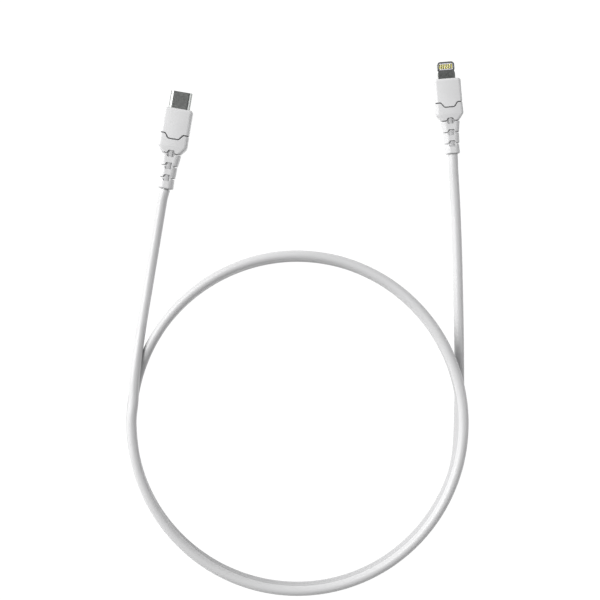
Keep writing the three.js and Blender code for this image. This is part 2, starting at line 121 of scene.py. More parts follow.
LOOP = (-5.05, -114.12)
LOOP_START = 180
LOOP_TURNED = 885
QUARTER_RADII = (63.07, 63.65, 63.34, 64.19, 63.45, 63.57, 63.02, 63.65, 64.02, 63.3, 62.81)
LOW = 1.93
LEVEL_STEP = 3.82
SINKING_STARTS = (200, 560)
SINKING_LENGTH = 60


def smoothstep(t):
    t = min(max(t, 0.0), 1.0)
    return t * t * (3 - 2 * t)


def on_loop(turned):
    """The point that the cord reaches after turning by some degrees, one level lower each turn."""
    quarter = min(turned // 90, len(QUARTER_RADII) - 2)
    share = (1 - math.cos(math.pi * (turned / 90 - quarter))) / 2
    radius = QUARTER_RADII[quarter] * (1 - share) + QUARTER_RADII[quarter + 1] * share
    sunk = sum(smoothstep((turned - start) / SINKING_LENGTH) for start in SINKING_STARTS)
    angle = math.radians(LOOP_START + turned)
    return (
        LOOP[0] + radius * math.cos(angle),
        LOOP[1] + radius * math.sin(angle),
        LOW + LEVEL_STEP * (2 - sunk),
    )


def cord_end(prefix):
    """Where the cord meets a plug, in millimetres: just behind its last ring, on its axis."""
    plug = Plug(prefix)
    return tuple(plug.place([(0, EXIT_Y * GROW[prefix] - CORD_GAP, 0)])[0] / MM)


def cord_route():
    """The route's points: the oval plug's lead, two and a half turns and the tab plug's lead."""
    oval_lead = [
        cord_end("oval"),
        (-56.68, -27.41, 2.8),
        (-57.67, -32.78, 2.45),
        (-59.03, -40.85, 2.1),
        (-60.37, -48.93, 1.95),
        (-61.72, -57.02, 2.0),
        (-63.0, -65.11, 2.7),
        (-64.2, -73.18, 4.3),
        (-65.26, -81.19, 6.4),
        (-66.22, -89.15, 8.3),
        (-67.0, -97.11, 9.35),
        (-67.39, -105.48, 9.57),
    ]
    loop = [on_loop(turned) for turned in range(0, LOOP_TURNED + 1, 15)]
    tab_lead = [
        (57.28, -105.94, LOW),
        (57.32, -95.54, LOW),
        (57.26, -85.14, LOW),
        (57.15, -77.05, LOW),
        (57.0, -68.96, LOW),
        (56.8, -59.72, LOW),
        (56.57, -50.09, LOW),
        (56.26, -40.84, LOW),
        (55.88, -31.6, 1.95),
        (55.42, -23.53, 2.25),
        (54.96, -15.87, 2.7),
        cord_end("tab"),
    ]
    return [Vector(p) * MM for p in oval_lead + loop + tab_lead]


def smooth_line(points, per_span):
    """A centripetal Catmull-Rom line through the points."""
    ends = [2 * points[0] - points[1]] + points + [2 * points[-1] - points[-2]]
    line = []
    for p0, p1, p2, p3 in zip(ends, ends[1:], ends[2:], ends[3:]):
        t1 = (p1 - p0).length ** 0.5
        t2 = t1 + (p2 - p1).length ** 0.5
        t3 = t2 + (p3 - p2).length ** 0.5
        for i in range(per_span):
            t = t1 + (t2 - t1) * i / per_span
            a1 = p0 * ((t1 - t) / t1) + p1 * (t / t1)
            a2 = p1 * ((t2 - t) / (t2 - t1)) + p2 * ((t - t1) / (t2 - t1))
            a3 = p2 * ((t3 - t) / (t3 - t2)) + p3 * ((t - t2) / (t3 - t2))
            b1 = a1 * ((t2 - t) / t2) + a2 * (t / t2)
            b2 = a2 * ((t3 - t) / (t3 - t1)) + a3 * ((t - t1) / (t3 - t1))
            line.append(b1 * ((t2 - t) / (t2 - t1)) + b2 * ((t - t1) / (t2 - t1)))
    return line + [points[-1]]


def curve_tube(name, line, radius, resolution=6):
    data = bpy.data.curves.new(name, "CURVE")
    data.dimensions = "3D"
    data.bevel_depth = radius
    data.bevel_resolution = resolution
    data.use_fill_caps = True
    spline = data.splines.new("POLY")
    spline.points.add(len(line) - 1)
    for point, place in zip(spline.points, line):
        point.co = (*place, 1)
    spline.use_smooth = True
    tube = bpy.data.objects.new(name, data)
    bpy.context.scene.collection.objects.link(tube)
    return tube


def add_cord(material):
    line = smooth_line(cord_route(), 10)
    cord = curve_tube("cord_jacket", line, CORD_RADIUS * MM, 8)
    cord.data.materials.append(material)
    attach(cord, "cable")
    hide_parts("cord")


# ------------------------------------------------------------------ materials


class Nodes:
    """A short way to write a material's nodes."""

    def __init__(self, name):
        self.material = bpy.data.materials.new(name)
        self.material.use_nodes = True
        self.tree = self.material.node_tree
        self.shader = self.tree.nodes["Principled BSDF"]
        self.place = self.add("ShaderNodeTexCoord").outputs["Object"]

    def add(self, kind, **inputs):
        node = self.tree.nodes.new(kind)
        for key, value in inputs.items():
            self.set(node, key, value)
        return node

    def set(self, node, key, value):
        socket = node.inputs[key.replace("_", " ")]
        if isinstance(value, bpy.types.NodeSocket):
            self.tree.links.new(value, socket)
        else:
            socket.default_value = value

    def stretched(self, scale):
        return self.add("ShaderNodeMapping", Vector=self.place, Scale=scale).outputs["Vector"]

    def noise(self, scale, detail=2.0, vector=None):
        node = self.add("ShaderNodeTexNoise", Vector=vector or self.place, Scale=scale, Detail=detail)
        return node.outputs["Fac"]

    def ramp(self, value, low, high, from_min=0.3, from_max=0.7):
        node = self.add("ShaderNodeMapRange", Value=value)
        for key, number in (
            ("From Min", from_min),
            ("From Max", from_max),
            ("To Min", low),
            ("To Max", high),
        ):
            node.inputs[key].default_value = number
        return node.outputs["Result"]

    def tint(self, value, dark, light):
        node = self.add("ShaderNodeMix")
        node.data_type = "RGBA"
        self.tree.links.new(value, node.inputs[0])
        node.inputs[6].default_value = (*dark, 1)
        node.inputs[7].default_value = (*light, 1)
        return node.outputs[2]

    def bump(self, height, distance, strength=1.0, normal=None):
        node = self.add("ShaderNodeBump", Height=height, Distance=distance, Strength=strength)
        if normal is not None:
            self.tree.links.new(normal, node.inputs["Normal"])
        return node.outputs["Normal"]

    def finish(self, **inputs):
        for key, value in inputs.items():
            self.set(self.shader, key, value)
        return self.material


def moulded_plastic(name, light, dark, rough, grain):
    """White moulding: a fine spark-eroded grain, faint flow clouds and a soft gloss."""
    n = Nodes(name)
    clouds = n.noise(220, 3)
    fine = n.noise(9000, 2)
    colour = n.tint(n.ramp(clouds, 0, 1), dark, light)
    roughness = n.ramp(n.noise(600, 3), rough - 0.05, rough + 0.05)
    normal = n.bump(fine, grain * MM)
    return n.finish(Base_Color=colour, Roughness=roughness, Normal=normal)


def jacket_with_shade():
    """The cord's white jacket, greyer on the turns that lie under another one. It stands for the
    shade between them, which the white floor would otherwise wash out."""
    n = Nodes("cord_jacket")
    xyz = n.add("ShaderNodeSeparateXYZ", Vector=n.place)
    under = n.ramp(xyz.outputs["Z"], 1, 0, 7.4 * MM, 7.8 * MM)
    in_loop = n.ramp(xyz.outputs["Y"], 1, 0, -100 * MM, -75 * MM)
    shade = n.add("ShaderNodeMath")
    shade.operation = "MULTIPLY"
    n.tree.links.new(under, shade.inputs[0])
    n.tree.links.new(in_loop, shade.inputs[1])
    colour = n.tint(shade.outputs[0], (0.6, 0.6, 0.605), (0.46, 0.46, 0.465))
    roughness = n.ramp(n.noise(600, 3), 0.33, 0.43)
    normal = n.bump(n.noise(9000, 2), 0.003 * MM)
    return n.finish(Base_Color=colour, Roughness=roughness, Normal=normal)


def plug_metal():
    """Blasted and plated metal, with faint rubbed lines along the way it is pushed in."""
    n = Nodes("plug_metal")
    lines = n.noise(900, 4, n.stretched((9, 0.35, 9)))
    blast = n.noise(7000, 2)
    colour = n.tint(n.ramp(lines, 0, 1), (0.33, 0.345, 0.335), (0.39, 0.4, 0.39))
    roughness = n.ramp(n.noise(1500, 3), 0.27, 0.36)
    normal = n.bump(lines, 0.0012 * MM, 1.0, n.bump(blast, 0.0008 * MM))
    return n.finish(Base_Color=colour, Metallic=1.0, Roughness=roughness, Normal=normal)


def spring_steel():
    n = Nodes("spring_steel")
    lines = n.noise(1200, 3, n.stretched((6, 0.5, 6)))
    colour = n.tint(n.ramp(lines, 0, 1), (0.55, 0.55, 0.54), (0.7, 0.7, 0.69))
    return n.finish(
        Base_Color=colour,
        Metallic=1.0,
        Roughness=n.ramp(n.noise(2500, 2), 0.22, 0.34),
        Normal=n.bump(lines, 0.001 * MM),
    )


def gold_plate():
    n = Nodes("gold")
    smudge = n.noise(2600, 3)
    colour = n.tint(n.ramp(smudge, 0, 1), (0.72, 0.66, 0.12), (0.86, 0.8, 0.2))
    return n.finish(
        Base_Color=colour,
        Metallic=1.0,
        Roughness=n.ramp(smudge, 0.2, 0.36),
        Normal=n.bump(n.noise(9000, 2), 0.0008 * MM),
    )


def plain_plastic(name, dark, light, rough, grain=0.002):
    n = Nodes(name)
    colour = n.tint(n.ramp(n.noise(1200, 3), 0, 1), dark, light)
    return n.finish(
        Base_Color=colour,
        Roughness=n.ramp(n.noise(3000, 2), rough - 0.05, rough + 0.05),
        Normal=n.bump(n.noise(9000, 2), grain * MM),
    )


def circuit_board():
    """Green solder mask over copper tracks that show as a slightly lighter relief."""
    n = Nodes("board")
    tracks = n.add("ShaderNodeTexWave", Vector=n.stretched((1, 1, 1)), Scale=520, Distortion=3.0)
    raised = n.ramp(tracks.outputs["Fac"], 0, 1, 0.55, 0.65)
    colour = n.tint(raised, (0.03, 0.17, 0.08), (0.06, 0.27, 0.13))
    return n.finish(Base_Color=colour, Roughness=0.38, Normal=n.bump(raised, 0.01 * MM))


def floor_material():
    n = Nodes("floor")
    colour = n.tint(n.ramp(n.noise(9, 2), 0, 1), (0.06, 0.06, 0.06), (0.07, 0.07, 0.07))
    return n.finish(
        Base_Color=colour,
        Roughness=0.9,
        Specular_IOR_Level=0.0,
        Emission_Color=(1, 1, 1, 1),
        Emission_Strength=1.0,
    )


# ------------------------------------------------------------------ meshes in the plug's frame


class Plug:
    """A plug's frame, found from its strain relief's first and last hinge. Its mouldings are
    drawn before they are scaled, so their frame has a size."""

    def __init__(self, prefix, size=1.0):
        self.prefix = prefix
        self.size = size
        at = {j["name"]: Vector(j["pos_m"]) for j in frame["joints"]}
        first, last = at[f"{prefix}_bend_1"], at[f"{prefix}_bend_3"]
        self.forward = (first - last).normalized()
        self.across = self.forward.cross(Vector((0, 0, 1)))
        self.origin = first - self.forward * SLITS[0] * GROW[prefix] * MM

    def place(self, points):
        """Points in the plug's frame, in millimetres, as points of the row frame, in metres."""
        points = np.asarray(points, float).reshape(-1, 3) * self.size * MM
        across, forward = np.array(self.across), np.array(self.forward)
        spread = np.outer(points[:, 0], across) + np.outer(points[:, 1], forward)
        spread[:, 2] += points[:, 2]
        return spread + np.array(self.origin)


def smoothed_relu(u, soft):
    return np.where(u < -soft, 0, np.where(u > soft, u, (u + soft) ** 2 / (4 * soft)))


class Section:
    """A rounded rectangle: half-width, half-height and corner radius. Its top and bottom may
    bulge, by the crown, from their edges to their middle."""

    def __init__(self, half_width, half_height, corner, crown=0.0):
        self.crown = crown
        self.a = np.asarray(half_width, float)
        self.h = np.asarray(half_height, float)
        self.r = np.minimum(np.asarray(corner, float), np.minimum(self.a, self.h) - 0.01)

    def along(self, x):
        """How far round from the top's middle a given x lies."""
        flat = self.a - self.r
        bent = np.arcsin(np.clip((x - flat) / self.r, 0, 1)) * self.r
        return np.where(x <= flat, x, flat + bent)

    def quarter(self):
        return self.a - self.r + self.r * math.pi / 2 + self.h - self.r

    def point(self, s):
        """The point and the outward normal, as x, z and nx, nz, in the quarter x, z >= 0."""
        flat, arc = self.a - self.r, self.r * math.pi / 2
        phi = np.clip((s - flat) / self.r, 0, math.pi / 2)
        x = np.where(s < flat, s, flat + self.r * np.sin(phi))
        side = self.h - self.r
        z = np.where(s > flat + arc, side - (s - flat - arc), side + self.r * np.cos(phi))
        return x, z, np.sin(phi), np.cos(phi)


FIXED_X = 1.9


class Columns:
    """The lines that run along a moulding. Those near the middle keep their x, so that windows
    have clean edges, and the others share out the rest of the way round."""

    def __init__(self, fixed=19, shared=34):
        quarter_x = np.linspace(0, FIXED_X, fixed, endpoint=False)
        quarter_q = np.linspace(0, 1, shared + 1)
        x = np.concatenate([quarter_x, np.full(shared + 1, FIXED_X)])
        q = np.concatenate([np.zeros(fixed), quarter_q])
        n = len(x)
        order = np.concatenate([np.arange(n), np.arange(n - 2, -1, -1)])
        self.x = np.concatenate([x[order], x[order][1:-1][::-1]])
        self.q = np.concatenate([q[order], q[order][1:-1][::-1]])
        half = len(order)
        rest = len(self.x) - half
        up = np.array([1] * n + [-1] * (n - 1))
        self.sign_x = np.concatenate([np.ones(half), -np.ones(rest)])
        self.sign_z = np.concatenate([up, up[1:-1][::-1]])

    def on(self, section, depth=0.0):
        """Every column's point on a section, pushed in by depth."""
        start = section.along(np.minimum(self.x, section.a * 0.999))
        s = start + self.q * (section.quarter() - start)
        x, z, nx, nz = section.point(s)
        z = z - section.crown * (x / section.a) ** 2 * z / section.h
        return self.sign_x * (x - depth * nx), self.sign_z * (z - depth * nz)


def loop_points(x, y, z):
    y = np.broadcast_to(y, np.shape(x))
    return np.stack([x, y, z], axis=1)


def make_object(name, points, faces, plug, materials, indices=None):
    mesh = bpy.data.meshes.new(name)
    mesh.from_pydata(plug.place(points).tolist(), [], faces)
    for material in materials:
        mesh.materials.append(material)
    if indices is not None:
        mesh.polygons.foreach_set("material_index", indices)
    bm = bmesh.new()
    bm.from_mesh(mesh)
    bmesh.ops.remove_doubles(bm, verts=bm.verts, dist=0.002 * MM)
    bmesh.ops.dissolve_degenerate(bm, edges=bm.edges, dist=0.001 * MM)
    bmesh.ops.recalc_face_normals(bm, faces=bm.faces)
    if bm.calc_volume(signed=True) < 0:
        bmesh.ops.reverse_faces(bm, faces=bm.faces)
    bm.to_mesh(mesh)
    bm.free()
    mesh.polygons.foreach_set("use_smooth", [True] * len(mesh.polygons))
    piece = bpy.data.objects.new(name, mesh)
    bpy.context.scene.collection.objects.link(piece)
    return piece


def ring_of_loops(name, loops, plug, material, inner=None, shaded_bands=0):
    """A closed skin through a ring of loops, each with as many points as the others. The first few bands
    may have a second material, such as the dark painted shade in the seam's groove."""
    n = len(loops[0])
    points = np.concatenate(loops)
    faces = []
    for i in range(len(loops)):
        a, b = i * n, ((i + 1) % len(loops)) * n
        for j in range(n):
            k = (j + 1) % n
            faces.append((a + j, a + k, b + k, b + j))
    materials = [material] if inner is None else [material, inner]
    indices = [1 if i < shaded_bands * n else 0 for i in range(len(faces))]
    return make_object(name, points, faces, plug, materials, indices)


def capped_loops(name, loops, plug, material):
    """A closed skin through a row of loops, with a flat cap on each end."""
    n = len(loops[0])
    points = np.concatenate(loops)
    faces = [tuple(range(n)), tuple((len(loops) - 1) * n + j for j in range(n))[::-1]]
    for i in range(len(loops) - 1):
        a, b = i * n, (i + 1) * n
        for j in range(n):
            k = (j + 1) % n
            faces.append((a + k, a + j, b + j, b + k))
    return make_object(name, points, faces, plug, [material])


def lerp(a, b, steps):
    """The steps strictly between a and b."""
    return [a + (b - a) * (i + 1) / (steps + 1) for i in range(steps)]


QUARTER_TURN = [math.radians(d) for d in (90, 72, 54, 36, 18, 0)]


class Moulding:
    """Collects the loops of a moulded piece whose outline is a Section at each y."""

    def __init__(self, columns, section_at):
        self.columns = columns
        self.section_at = section_at
        self.loops = []

    def skin(self, y, depth=0.0):
        y = np.broadcast_to(np.asarray(y, float), self.columns.x.shape)
        x, z = self.columns.on(self.section_at(y), depth)
        self.loops.append(loop_points(x, y, z))

    def on(self, y, section, depth=0.0):
        x, z = self.columns.on(section, depth)
        self.loops.append(loop_points(x, y, z))

    def bore(self, y, radius, like_y):
        """A round loop, with each point straight in from the skin's point at like_y."""
        x, z = self.columns.on(self.section_at(np.broadcast_to(like_y, self.columns.x.shape)))
        angle = np.arctan2(z, x)
        self.loops.append(loop_points(radius * np.cos(angle), y, radius * np.sin(angle)))

    def front_edge(self, y, radius):
        for phi in QUARTER_TURN:
            self.skin(y - radius * (1 - math.sin(phi)), radius * (1 - math.cos(phi)))

    def back_edge(self, y, radius):
        for phi in reversed(QUARTER_TURN):
            self.skin(y + radius * (1 - math.sin(phi)), radius * (1 - math.cos(phi)))

    def skin_between(self, y_front, y_back, steps):
        for y in lerp(y_front, y_back, steps):
            self.skin(y)


# ------------------------------------------------------------------ the shared moulding

HEAD_COLUMNS = Columns(19, 40)
RING_COLUMNS = Columns(19, 26)
EDGE = 0.1
SUPPORT = 0.06


def head_section(y):
    """The covers' outline: nearly straight to the shoulder, then tapering to the neck."""
    neck_y = SLITS[0] + SLIT_WIDTH / 2
    past = smoothed_relu(SHOULDER_Y - y, 0.22) / (SHOULDER_Y - neck_y)
    fore = np.clip((y - SHOULDER_Y) / (SEAM_Y - SHOULDER_Y), 0, 1)
    half_width = SHOULDER_HALF_WIDTH - (SHOULDER_HALF_WIDTH - COVER_HALF_WIDTH) * fore
    half_width = half_width - (SHOULDER_HALF_WIDTH - NECK_HALF_WIDTH) * past
    half_height = COVER_HALF_HEIGHT - (COVER_HALF_HEIGHT - NECK_HALF_HEIGHT) * past
    corner = COVER_CORNER + 0.35 * np.clip(past, 0, 1)
    return Section(half_width, half_height, corner, COVER_CROWN * (1 - np.clip(past, 0, 1)))


def seam(x, side):
    """The y of the seam's edge: side is 1 on the front cover and -1 on the rear cover."""
    x = np.abs(x)
    width = TONGUE_TOP - TONGUE_TIP
    soft = 0.36
    rise = (smoothed_relu(x - TONGUE_TIP, soft) - smoothed_relu(x - TONGUE_TOP, soft)) / width
    near = 1e-3
    ahead = x + near
    steep = (smoothed_relu(ahead - TONGUE_TIP, soft) - smoothed_relu(ahead - TONGUE_TOP, soft)) / width
    slope = (SEAM_Y - TONGUE_Y) * (steep - rise) / near
    return TONGUE_Y + (SEAM_Y - TONGUE_Y) * rise + side * SEAM_GAP / 2 * np.hypot(1, slope)


def window_edge(x, slit, side):
    """The y of a slit's edge with its half of the window: side is 1 in front of the slit."""
    reach = (WINDOW_HALF_WIDTH - np.abs(x)) / (WINDOW_HALF_WIDTH - WINDOW_FLAT)
    rise = smoothed_relu(reach, 0.12) - smoothed_relu(reach - 1, 0.12)
    return slit + side * np.maximum(SLIT_WIDTH / 2, WINDOW_HALF_LENGTH * rise)


def column_x(columns, section):
    return columns.on(section)[0]


def settled(columns, edge, section_at, guess):
    """Each column's y where it meets an edge whose y depends on x."""
    y = np.full(columns.x.shape, float(guess))
    for _ in range(4):
        y = edge(column_x(columns, section_at(y)))
    return y


def opening_loop(columns, half_width, half_height, like):
    """A slot with full round ends, met straight in from a section's points."""
    x, z = columns.on(like)
    angle = np.arctan2(z / float(like.h), x / float(like.a))
    flat = half_width - half_height
    dx, dz = np.cos(angle) * (half_width / half_height), np.sin(angle)
    reach = half_height / np.maximum(np.abs(dz), 1e-9)
    inside = np.abs(dx) * reach <= flat
    side = np.sign(dx)
    # Where the line leaves through a round end, solve for the circle about (flat, 0).
    a = dx**2 + dz**2
    b = -2 * np.abs(dx) * flat
    c = flat**2 - half_height**2
    round_reach = (-b + np.sqrt(np.maximum(b**2 - 4 * a * c, 0))) / (2 * a)
    reach = np.where(inside, reach, round_reach)
    return np.where(inside, dx * reach, side * np.abs(dx) * reach), dz * reach


def front_cover(plug, opening, material):
    """The front cover: a rounded nose with the connector's opening, and a tongued rear edge
    whose lip laps over the rear cover's spigot."""
    columns = HEAD_COLUMNS
    m = Moulding(columns, head_section)
    opening = [reach / plug.size for reach in opening]
    ox, oz = opening_loop(columns, *opening, head_section(np.array(-3.0)))
    wall = 1.0
    cavity = Section(*CAVITY)
    round_x, round_z, depth_y = 1.0, 0.72, 0.95

    def nose_loop(phi, flatten=0.0):
        """phi is 90 degrees on the front face and 0 on the side."""
        shrink = 1 - math.cos(phi)
        inner = Section(
            COVER_HALF_WIDTH - round_x * shrink - flatten,
            COVER_HALF_HEIGHT - round_z * shrink - flatten,
            COVER_CORNER - 0.3 * shrink,
            COVER_CROWN * (1 - shrink),
        )
        m.on(-depth_y * (1 - math.sin(phi)), inner)

    lip = 0.07
    for phi in reversed(QUARTER_TURN):
        wider_x = 1 + lip * (1 - math.cos(phi)) / opening[0]
        wider_z = 1 + lip * (1 - math.cos(phi)) / opening[1]
        m.loops.append(loop_points(ox * wider_x, lip * (math.sin(phi) - 1), oz * wider_z))
    nose_loop(math.pi / 2, 0.12)
    for degrees in (90, 78, 66, 54, 42, 30, 18, 8, 0):
        nose_loop(math.radians(degrees))
    for y in (-1.1, -1.5, -2.3, -3.4, -4.5, -5.6, -6.7, -7.8, -8.7):
        m.skin(y)
    edge = settled(columns, lambda x: seam(x, 1), head_section, SEAM_Y)
    m.skin_between(-8.7, edge + EDGE + SUPPORT, 6)
    m.skin(edge + EDGE + SUPPORT)
    m.back_edge(edge, EDGE)
    m.skin(edge, LIP_DEPTH)
    m.skin(edge + 0.5, LIP_DEPTH + 0.01)
    m.skin(edge + 1.0, LIP_DEPTH + 0.02)
    m.on(edge + 1.05, cavity)
    for y in lerp(-7.4, -wall, 3):
        m.on(y, cavity)
    m.on(-wall, cavity)
    m.loops.append(loop_points(ox, -wall, oz))
    m.loops.append(loop_points(ox, -0.5, oz))
    return ring_of_loops(f"{plug.prefix}_nose_cover", m.loops, plug, material)


def rear_cover(plug, material, inner):
    """The rear cover: a spigot under the front cover's lip, the shoulder and the neck."""
    columns = HEAD_COLUMNS
    m = Moulding(columns, head_section)
    cavity = Section(*CAVITY)
    front = settled(columns, lambda x: seam(x, -1), head_section, SEAM_Y)
    back = settled(columns, lambda x: window_edge(x, SLITS[0], 1), head_section, SLITS[0])
    m.on(front + 0.85, cavity)
    m.skin(front + 0.85, SPIGOT_DEPTH + 0.05)
    for ahead in (0.8, 0.4, 0):
        m.skin(front + ahead, SPIGOT_DEPTH)
    # The spigot's bands take the dark seam material: painted shade for the groove under the front
    # cover's lip, where the spigot's white plastic lies in shadow.
    spigot_bands = len(m.loops)
    m.front_edge(front, EDGE)
    m.skin(front - EDGE - SUPPORT)
    m.skin_between(front - EDGE - SUPPORT, -12.6, 8)
    for y in (-12.6, -13.1, -13.5, -13.8, -13.95, -14.07, -14.2, -14.33, -14.45, -14.6, -14.9, -15.25):
        m.skin(y)
    m.skin_between(-15.25, back + EDGE + SUPPORT, 4)
    m.skin(back + EDGE + SUPPORT)
    m.back_edge(back, EDGE)
    m.skin(back, MOUTH_DEPTH)
    for y in (back, -15.4, -14.2):
        m.on(y, Section(*BORE))
    m.on(-13.4, cavity)
    m.on(-12.0, cavity)
    return ring_of_loops(f"{plug.prefix}_tail_cover", m.loops, plug, material, inner, spigot_bands)


def relief_ring(plug, index, material):
    """One strain-relief ring: hollow, tapering, with half a window at each slit."""
    front_half, back_half, front_high, back_high, corner = RINGS[index]
    last = index == len(RINGS) - 1
    y_front = SLITS[index] - SLIT_WIDTH / 2
    y_back = EXIT_Y if last else SLITS[index + 1] + SLIT_WIDTH / 2

    def section_at(y):
        t = np.clip((y_front - y) / (y_front - y_back), 0, 1)
        half_width = front_half + (back_half - front_half) * t
        half_height = front_high + (back_high - front_high) * t
        return Section(half_width, half_height, corner)

    columns = RING_COLUMNS
    m = Moulding(columns, section_at)
    front = settled(columns, lambda x: window_edge(x, SLITS[index], -1), section_at, y_front)
    if last:
        back = np.full(columns.x.shape, y_back)
    else:
        back = settled(columns, lambda x: window_edge(x, SLITS[index + 1], 1), section_at, y_back)
    middle = (y_front + y_back) / 2
    m.on(front, Section(*BORE))
    m.skin(front, MOUTH_DEPTH)
    m.front_edge(front, EDGE)
    m.skin(front - EDGE - SUPPORT)
    m.skin_between(front - EDGE - SUPPORT, middle + 0.4, 5)
    for y in (middle + 0.4, middle, middle - 0.4):
        m.skin(y)
    radius = 0.38 if last else EDGE
    m.skin_between(middle - 0.4, back + radius + SUPPORT, 5)
    m.skin(back + radius + SUPPORT)
    m.back_edge(back, radius)
    if last:
        m.bore(back, (CORD_RADIUS + 0.01) / plug.size, back)
    else:
        m.on(back, Section(*BORE))
    m.on(middle, Section(*BORE))
    return ring_of_loops(f"{plug.prefix}_ring_{index + 1}", m.loops, plug, material)


def core_piece(plug, index, material):
    """The inner part of the strain relief that shows in a window and through its slit. The last
    one goes on, as the cord itself, to meet the cord behind the exit."""
    slit = SLITS[index]
    core = Section(*CORE)
    x, z = RING_COLUMNS.on(core)
    loops = [loop_points(x, y, z) for y in np.linspace(slit + 1.4, slit - 1.55, 15)]
    if index == len(SLITS) - 1:
        angle = np.arctan2(z, x)
        radius = CORD_RADIUS / plug.size
        end = EXIT_Y - (CORD_GAP - 0.01) / plug.size
        for y in (slit - 1.9, EXIT_Y + 0.5, end):
            loops.append(loop_points(radius * np.cos(angle), y, radius * np.sin(angle)))
    return capped_loops(f"{plug.prefix}_core_{index + 1}", loops, plug, material)


def web_piece(plug, index, material):
    """The two upright webs that cross a window, above and below the cord."""
    slit = SLITS[index]
    half_width, edge = WEB_HALF_WIDTH, 0.1
    low, high = 1.5, WEB_TOP
    outline = []
    for cx, cz, start in (
        (half_width - edge, high - edge, 0),
        (-half_width + edge, high - edge, 90),
    ):
        for degrees in (start, start + 30, start + 60, start + 90):
            angle = math.radians(degrees)
            outline.append((cx + edge * math.cos(angle), cz + edge * math.sin(angle)))
    outline += [(-half_width, low), (half_width, low)]
    outline = np.array(outline)
    points, faces = [], []
    for sign in (1, -1):
        base = sum(len(p) for p in points)
        rows = np.linspace(slit - 1.35, slit + 1.35, 13)
        n = len(outline)
        for y in rows:
            points.append(loop_points(outline[:, 0], y, sign * outline[:, 1]))
        for i in range(len(rows) - 1):
            for j in range(n):
                k = (j + 1) % n
                a, b = base + i * n, base + (i + 1) * n
                quad = (a + j, a + k, b + k, b + j)
                faces.append(quad if sign > 0 else quad[::-1])
        for end in (base, base + (len(rows) - 1) * n):
            faces.append(tuple(end + j for j in range(n)))
    return make_object(f"{plug.prefix}_web_{index + 1}", np.concatenate(points), faces, plug, [material])


def bend_across(piece, plug, index):
    """Bakes the piece's placing into its mesh. The points on either side of the slit are found, but
    nothing bends the piece there.
    """
    start, end = plug.place([(0, SLITS[index] - 0.5, 0), (0, SLITS[index] + 0.5, 0)])
    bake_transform(piece)


def add_moulding(prefix, opening, looks):
    plug = Plug(prefix, GROW[prefix])
    head = f"{prefix}_head"
    nose = front_cover(plug, opening, looks["cover"])
    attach(nose, head)
    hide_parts(f"{plug.prefix}_front_cover")
    # The rear cover's spigot is painted dark grey, as the shade in the seam's groove.
    tail = rear_cover(plug, looks["relief"], looks["seam"])
    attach(tail, head)
    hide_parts(f"{plug.prefix}_rear_cover")
    bodies = (f"{plug.prefix}_link_1", f"{plug.prefix}_link_2", "cable")
    for index, body in enumerate(bodies):
        ring = relief_ring(plug, index, looks["relief"])
        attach(ring, body)
        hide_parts(f"{plug.prefix}_relief_ring_{index + 1}")
        # The first window's core takes the darker grey core material, painted shade for that deeper
        # window; the others show the white jacket.
        core = core_piece(plug, index, looks["jacket" if index else "core"])
        # The webs are painted darker grey than the rings, as the shade in the windows' recesses.
        web = web_piece(plug, index, looks["web"])
        for piece, slot in ((core, "jacket"), (web, "relief")):
            bend_across(piece, plug, index)


# ------------------------------------------------------------------ the oval plug


def slot_loop(half_width, half_height, y, across=20, round_steps=14):
    """A slot with full round ends, in the plane of a given y."""
    flat = half_width - half_height
    points = []
    for i in range(round_steps):
        angle = math.pi / 2 - math.pi * i / round_steps
        points.append((flat + half_height * math.cos(angle), half_height * math.sin(angle)))
    points += [(flat - 2 * flat * i / across, -half_height) for i in range(across)]
    for i in range(round_steps):
        angle = -math.pi / 2 - math.pi * i / round_steps
        points.append((-flat + half_height * math.cos(angle), half_height * math.sin(angle)))
    points += [(-flat + 2 * flat * i / across, half_height) for i in range(across)]
    points = np.array(points)
    return loop_points(points[:, 0], y, points[:, 1])


def add_shell(plug, material):
    """The drawn metal shell: a rounded rim at the tip, and a square-cut tail inside the cover."""
    half_width, half_height, wall, tip, tail = 4.125, 1.2, 0.25, 6.65, -3.5
    rim = 0.12
    loops = []
    for phi in QUARTER_TURN[::-1]:
        pull = rim * (1 - math.cos(phi))
        loops.append(slot_loop(half_width - pull, half_height - pull, tip - rim * (1 - math.sin(phi))))
    inner_x, inner_z = half_width - wall, half_height - wall
    for phi in QUARTER_TURN:
        push = rim * (1 - math.cos(phi))
        loops.append(slot_loop(inner_x + push, inner_z + push, tip - rim * (1 - math.sin(phi))))
    for y in (tip - rim - 0.1, 4.0, 1.0, -2.0, tail):
        loops.append(slot_loop(inner_x, inner_z, y))
    for y in (tail, -2.0, 0.2, 1.8, 3.4, 5.0, tip - rim - 0.1):
        loops.append(slot_loop(half_width, half_height, y))
    shell = ring_of_loops(f"{plug.prefix}_plug_shell", loops, plug, material)
    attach(shell, f"{plug.prefix}_head")
    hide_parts(f"{plug.prefix}_shell")


def refined(node, name, material, body, bevel):
    """A finer copy of a small CAD solid: flat faces joined and edges rounded."""
    source = frame["nodes"][node]
    mesh = source.data.copy()
    mesh.name = name
    mesh.materials.clear()
    mesh.materials.append(material)
    bm = bmesh.new()
    bm.from_mesh(mesh)
    bmesh.ops.remove_doubles(bm, verts=bm.verts, dist=0.0005 * MM)
    bmesh.ops.dissolve_limit(bm, angle_limit=math.radians(1), verts=bm.verts, edges=bm.edges)
    bm.to_mesh(mesh)
    bm.free()
    piece = bpy.data.objects.new(name, mesh)
    bpy.context.scene.collection.objects.link(piece)
    edges = piece.modifiers.new("edges", "BEVEL")
    edges.width = bevel * MM
    edges.segments = 2
    edges.limit_method = "ANGLE"
    edges.angle_limit = math.radians(35)
    edges.harden_normals = False
    mesh.polygons.foreach_set("use_smooth", [False] * len(mesh.polygons))
    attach(piece, body)
    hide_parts(node)
    return piece


TOP_PLACES = (1, 4, 5, 6, 7, 9, 12)
BOTTOM_PLACES = (1, 4, 5, 9, 12)


